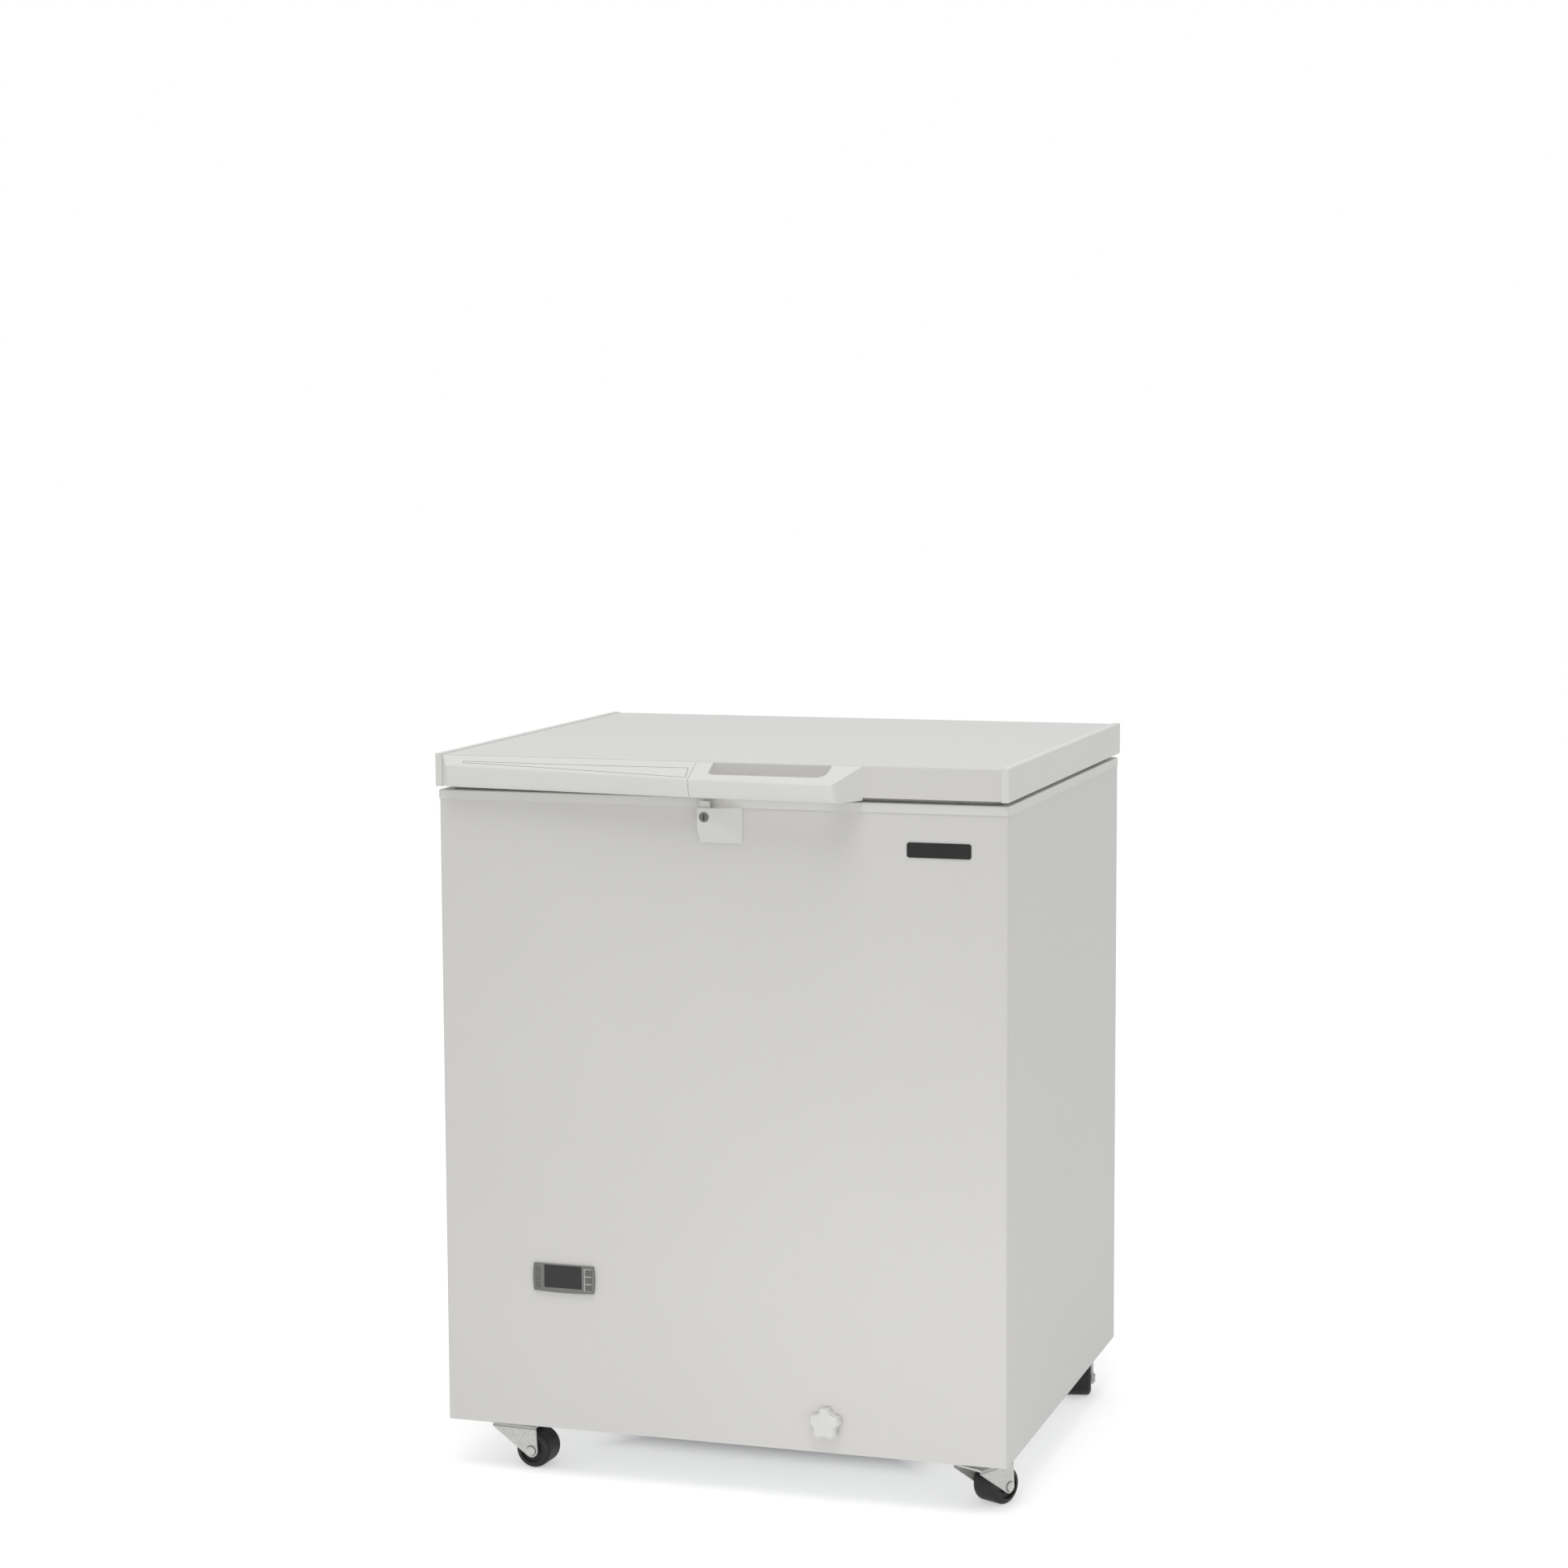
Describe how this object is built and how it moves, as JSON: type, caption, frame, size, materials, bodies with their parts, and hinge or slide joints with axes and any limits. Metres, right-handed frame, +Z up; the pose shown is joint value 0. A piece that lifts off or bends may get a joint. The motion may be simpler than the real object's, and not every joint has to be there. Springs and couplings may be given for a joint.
{
  "type": "chest freezer",
  "caption": "Low-temperature chest freezer on swivel casters: insulated stepped tank, hinged lid with a moulded handle and key lock, panel controller, and a capped front drain.",
  "frame": {"origin": "on the floor under the middle of the overall box", "axes": "+X to the right as seen from the front, +Y from the front to the back, +Z up"},
  "size_m": [0.684, 0.6546, 0.8553],
  "materials": {
    "white_steel": "smooth gloss",
    "white_plastic": "satin",
    "liner_metal": "embossed satin",
    "foam": "cellular",
    "gasket": "soft matte",
    "grey_plastic": "fine texture",
    "display": "smooth gloss",
    "key_film": "satin film",
    "plate_black": "satin",
    "zinc": "zinc plated",
    "hinge_white": "powder coat",
    "lock_metal": "satin",
    "wheel": "moulded",
    "black_steel": "baked enamel",
    "copper": "drawn",
    "rubber": "matte"
  },
  "bodies": {
    "cabinet": {"outer_shell": "white_steel", "back_panel": "white_steel", "base_panel": "zinc", "compartment_lining": "zinc", "cabinet_insulation": "foam", "inner_liner": "liner_metal", "evaporator_coil": "copper", "top_frame": "white_plastic", "rear_grille": "white_plastic", "hinge_base_left": "hinge_white", "hinge_base_right": "hinge_white", "hinge_pin_left": "zinc", "hinge_pin_right": "zinc", "lock_housing": "white_plastic", "controller_case": "grey_plastic", "controller_display": "display", "name_plate": "plate_black", "drain_pipe": "white_plastic", "caster_plates": "zinc", "compressor": "black_steel", "compressor_mounts": "rubber", "condenser": "liner_metal", "fan_shroud": "black_steel", "fan_motor": "black_steel", "refrigerant_pipes": "copper", "cabinet_screws": "zinc"},
    "lid": {"lid_skin": "white_steel", "lid_liner": "white_plastic", "lid_insulation": "foam", "lid_gasket": "gasket", "lid_trim_left": "white_plastic", "lid_trim_right": "white_plastic", "handle_cover": "white_plastic", "handle_grip": "white_plastic", "hinge_arm_left": "hinge_white", "hinge_arm_right": "hinge_white", "lid_screws": "zinc"},
    "lock_cylinder": {"lock_cylinder": "lock_metal"},
    "lock_bolt": {"lock_bolt": "white_plastic"},
    "drain_washer": {"drain_washer": "rubber"},
    "drain_cap": {"drain_cap": "white_plastic"},
    "fan_rotor": {"fan_rotor": "black_steel"},
    "key_left_top": {"key_left_top": "key_film"},
    "key_left_middle": {"key_left_middle": "key_film"},
    "key_left_bottom": {"key_left_bottom": "key_film"},
    "key_right_top": {"key_right_top": "key_film"},
    "key_right_middle": {"key_right_middle": "key_film"},
    "key_right_bottom": {"key_right_bottom": "key_film"},
    "caster_fork_front_left": {"caster_fork_front_left": "zinc", "caster_axle_front_left": "zinc"},
    "caster_wheel_front_left": {"caster_wheel_front_left": "wheel"},
    "caster_fork_front_right": {"caster_fork_front_right": "zinc", "caster_axle_front_right": "zinc"},
    "caster_wheel_front_right": {"caster_wheel_front_right": "wheel"},
    "caster_fork_rear_left": {"caster_fork_rear_left": "zinc", "caster_axle_rear_left": "zinc"},
    "caster_wheel_rear_left": {"caster_wheel_rear_left": "wheel"},
    "caster_fork_rear_right": {"caster_fork_rear_right": "zinc", "caster_axle_rear_right": "zinc"},
    "caster_wheel_rear_right": {"caster_wheel_rear_right": "wheel"}
  },
  "joints": [
    {"name": "lid_hinge", "type": "hinge", "parent": "cabinet", "child": "lid", "pos_m": [0, 0.3205, 0.822], "axis": [-1, 0, 0], "range_deg": [0, 80]},
    {"name": "lock_turn", "type": "hinge", "parent": "cabinet", "child": "lock_cylinder", "pos_m": [-0.0103, -0.2895, 0.7917], "axis": [0, 1, 0], "range_deg": [0, 90]},
    {"name": "lock_bolt_slide", "type": "slide", "parent": "cabinet", "child": "lock_bolt", "axis": [0, 0, 1], "range_m": [0, 0.009]},
    {"name": "drain_cap_travel", "type": "slide", "parent": "cabinet", "child": "drain_washer", "axis": [0, -1, 0], "range_m": [0, 0.006]},
    {"name": "drain_cap_turn", "type": "hinge", "parent": "drain_washer", "child": "drain_cap", "pos_m": [0.1286, -0.2815, 0.098], "axis": [0, -1, 0], "range_deg": [0, 720]},
    {"name": "fan_spin", "type": "hinge", "parent": "cabinet", "child": "fan_rotor", "pos_m": [-0.245, 0.2435, 0.153], "axis": [0, 1, 0], "continuous": true},
    {"name": "key_left_top_press", "type": "slide", "parent": "cabinet", "child": "key_left_top", "axis": [0, 1, 0], "range_m": [0, 0.0006], "stiffness_N_per_m": 400},
    {"name": "key_left_middle_press", "type": "slide", "parent": "cabinet", "child": "key_left_middle", "axis": [0, 1, 0], "range_m": [0, 0.0006], "stiffness_N_per_m": 400},
    {"name": "key_left_bottom_press", "type": "slide", "parent": "cabinet", "child": "key_left_bottom", "axis": [0, 1, 0], "range_m": [0, 0.0006], "stiffness_N_per_m": 400},
    {"name": "key_right_top_press", "type": "slide", "parent": "cabinet", "child": "key_right_top", "axis": [0, 1, 0], "range_m": [0, 0.0006], "stiffness_N_per_m": 400},
    {"name": "key_right_middle_press", "type": "slide", "parent": "cabinet", "child": "key_right_middle", "axis": [0, 1, 0], "range_m": [0, 0.0006], "stiffness_N_per_m": 400},
    {"name": "key_right_bottom_press", "type": "slide", "parent": "cabinet", "child": "key_right_bottom", "axis": [0, 1, 0], "range_m": [0, 0.0006], "stiffness_N_per_m": 400},
    {"name": "swivel_front_left", "type": "hinge", "parent": "cabinet", "child": "caster_fork_front_left", "pos_m": [-0.268, -0.2245, 0.05], "axis": [0, 0, 1], "continuous": true},
    {"name": "roll_front_left", "type": "hinge", "parent": "caster_fork_front_left", "child": "caster_wheel_front_left", "pos_m": [-0.24605, -0.22604, 0.022], "axis": [-0.0698, -0.9976, 0], "continuous": true},
    {"name": "swivel_front_right", "type": "hinge", "parent": "cabinet", "child": "caster_fork_front_right", "pos_m": [0.3, -0.2245, 0.05], "axis": [0, 0, 1], "continuous": true},
    {"name": "roll_front_right", "type": "hinge", "parent": "caster_fork_front_right", "child": "caster_wheel_front_right", "pos_m": [0.30964, -0.20473, 0.022], "axis": [0.8988, -0.4384, 0], "continuous": true},
    {"name": "swivel_rear_left", "type": "hinge", "parent": "cabinet", "child": "caster_fork_rear_left", "pos_m": [-0.268, 0.2625, 0.05], "axis": [0, 0, 1], "continuous": true},
    {"name": "roll_rear_left", "type": "hinge", "parent": "caster_fork_rear_left", "child": "caster_wheel_rear_left", "pos_m": [-0.28794, 0.2532, 0.022], "axis": [-0.4226, 0.9063, 0], "continuous": true},
    {"name": "swivel_rear_right", "type": "hinge", "parent": "cabinet", "child": "caster_fork_rear_right", "pos_m": [0.3, 0.2625, 0.05], "axis": [0, 0, 1], "continuous": true},
    {"name": "roll_rear_right", "type": "hinge", "parent": "caster_fork_rear_right", "child": "caster_wheel_rear_right", "pos_m": [0.30495, 0.24106, 0.022], "axis": [-0.9744, -0.225, 0], "continuous": true}
  ],
  "couplings": [
    {"joint": "lock_turn", "follows": "lock_bolt_slide", "rad_per_m": 174.5},
    {"joint": "drain_cap_travel", "follows": "drain_cap_turn", "m_per_rad": 0.000477}
  ]
}
